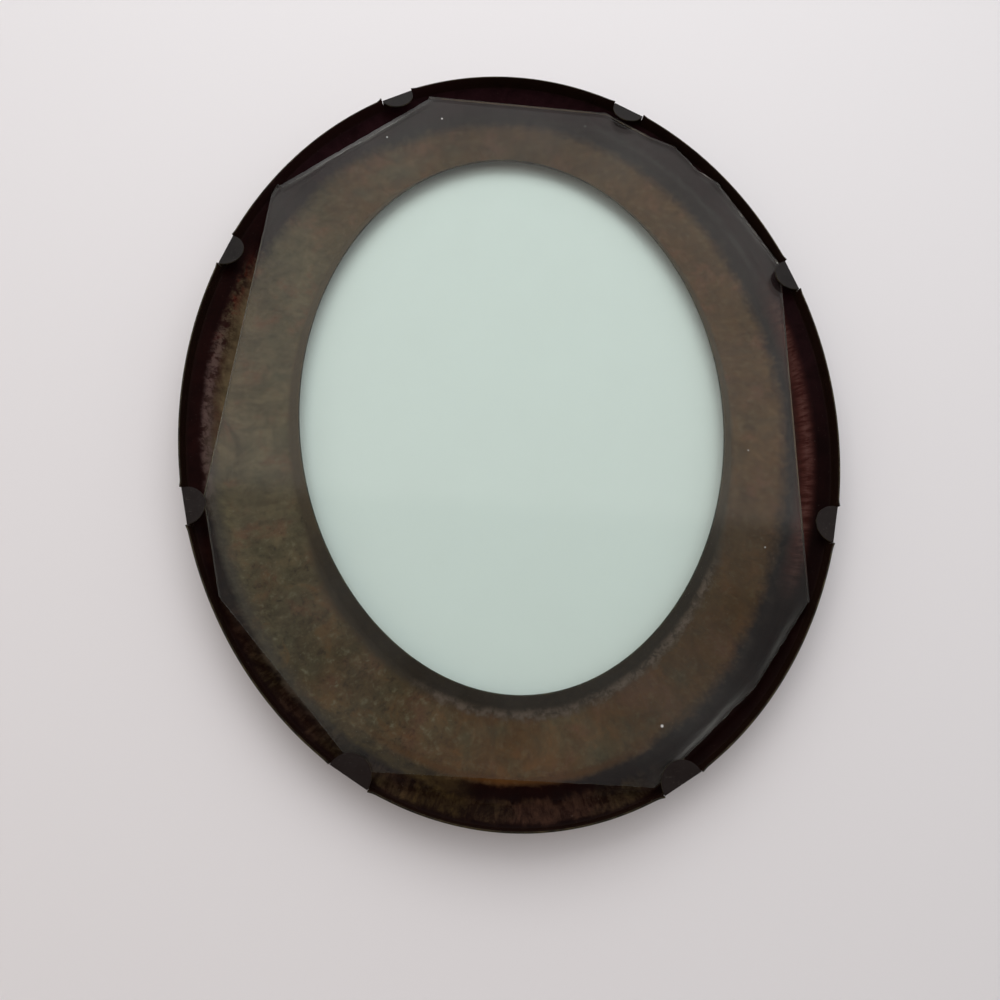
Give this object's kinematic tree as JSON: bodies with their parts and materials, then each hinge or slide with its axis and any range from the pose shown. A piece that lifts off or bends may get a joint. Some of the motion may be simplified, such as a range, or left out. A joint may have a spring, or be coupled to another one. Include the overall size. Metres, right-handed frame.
{
  "type": "oval picture frame",
  "caption": "Oval pressed-metal picture frame with a dished band, a hand-cut glass pane inside its flange and half-round tabs folded in over the glass from the back rim.",
  "frame": {"origin": "middle of the oval, level with the flat front face that it lies on", "axes": "+Z out of the back, +Y along the oval to its top, +X to the right as seen from the back"},
  "size_m": [0.191, 0.242, 0.0115],
  "materials": {
    "frame_lacquer": "old glossy maroon-brown lacquer on thin pressed sheet, stained and dusty",
    "tab_metal": "dull dark brown-grey lacquer, scratched, worn to metal at the fold",
    "pane_glass": "old pale green clear glass with dust haze and chipped hand-cut edges"
  },
  "bodies": {
    "frame": {"frame_shell": "frame_lacquer"},
    "glass": {"glass_pane": "pane_glass"},
    "top_right_tab": {"tab_top_right": "tab_metal"},
    "upper_right_tab": {"tab_upper_right": "tab_metal"},
    "lower_right_tab": {"tab_lower_right": "tab_metal"},
    "bottom_right_tab": {"tab_bottom_right": "tab_metal"},
    "bottom_left_tab": {"tab_bottom_left": "tab_metal"},
    "lower_left_tab": {"tab_lower_left": "tab_metal"},
    "upper_left_tab": {"tab_upper_left": "tab_metal"},
    "top_left_tab": {"tab_top_left": "tab_metal"}
  },
  "joints": [
    {"name": "tab_top_right_fold", "type": "hinge", "parent": "frame", "child": "top_right_tab", "pos_m": [0.04341, 0.10739, 0.0107], "axis": [-0.8385, 0.5449, 0], "range_deg": [0, 95]},
    {"name": "tab_upper_right_fold", "type": "hinge", "parent": "frame", "child": "upper_right_tab", "pos_m": [0.09018, 0.03857, 0.0107], "axis": [-0.2571, 0.9664, 0], "range_deg": [0, 95]},
    {"name": "tab_lower_right_fold", "type": "hinge", "parent": "frame", "child": "lower_right_tab", "pos_m": [0.08818, -0.04541, 0.0107], "axis": [0.3051, 0.9523, 0], "range_deg": [0, 95]},
    {"name": "tab_bottom_right_fold", "type": "hinge", "parent": "frame", "child": "bottom_right_tab", "pos_m": [0.03729, -0.11103, 0.0107], "axis": [0.8799, 0.4752, 0], "range_deg": [0, 95]},
    {"name": "tab_bottom_left_fold", "type": "hinge", "parent": "frame", "child": "bottom_left_tab", "pos_m": [-0.04342, -0.10738, 0.0107], "axis": [0.8384, -0.5451, 0], "range_deg": [0, 95]},
    {"name": "tab_lower_left_fold", "type": "hinge", "parent": "frame", "child": "lower_left_tab", "pos_m": [-0.09019, -0.03855, 0.0107], "axis": [0.257, -0.9664, 0], "range_deg": [0, 95]},
    {"name": "tab_upper_left_fold", "type": "hinge", "parent": "frame", "child": "upper_left_tab", "pos_m": [-0.08817, 0.04543, 0.0107], "axis": [-0.3052, -0.9523, 0], "range_deg": [0, 95]},
    {"name": "tab_top_left_fold", "type": "hinge", "parent": "frame", "child": "top_left_tab", "pos_m": [-0.03727, 0.11103, 0.0107], "axis": [-0.88, -0.475, 0], "range_deg": [0, 95]},
    {"name": "glass_lift", "type": "slide", "parent": "frame", "child": "glass", "axis": [0, 0, 1], "range_m": [0, 0.0009]}
  ]
}
